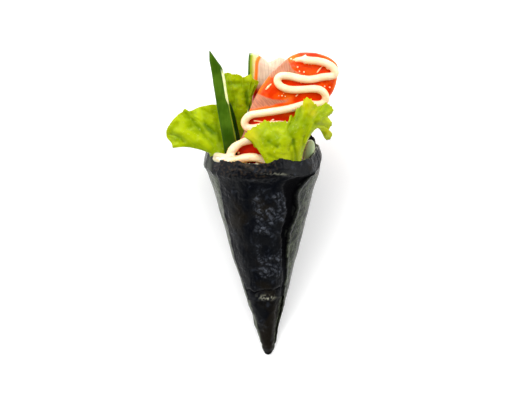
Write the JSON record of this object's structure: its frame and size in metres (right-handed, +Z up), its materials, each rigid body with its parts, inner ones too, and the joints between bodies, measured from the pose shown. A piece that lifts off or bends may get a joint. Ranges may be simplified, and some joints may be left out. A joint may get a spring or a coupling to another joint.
{
  "type": "temaki hand roll",
  "caption": "Cone of rolled nori filled with rice, lettuce, cucumber and crab stick, with a zigzag of mayonnaise, lying with its filled side up.",
  "frame": {"origin": "on the flat strip under the cone that the roll rests on, below the cone's axis", "axes": "+Z up, towards the shown side; +Y from the cone's tip towards its mouth and fillings; +X to the right"},
  "size_m": [0.0934, 0.1682, 0.0704],
  "materials": {
    "nori": "dark pressed seaweed sheet, slightly glossy, with fine grain and small blisters",
    "rice": "moist cooked grains",
    "lettuce": "thin waxy leaf with pale veins and a bright frilled margin",
    "cucumber": "dark green skin over pale wet flesh",
    "crab_stick": "wet orange-red outside that fades into pale fibres",
    "mayonnaise": "smooth glossy cream"
  },
  "bodies": {
    "root": {"nori": "nori", "rice": "rice", "lettuce_left": "lettuce", "lettuce_back": "lettuce", "lettuce_front": "lettuce", "cucumber_blade": "cucumber", "cucumber_second": "cucumber", "cucumber_back": "cucumber", "cucumber_right": "cucumber", "crab_front": "crab_stick", "crab_back": "crab_stick", "mayonnaise": "mayonnaise"}
  },
  "joints": []
}
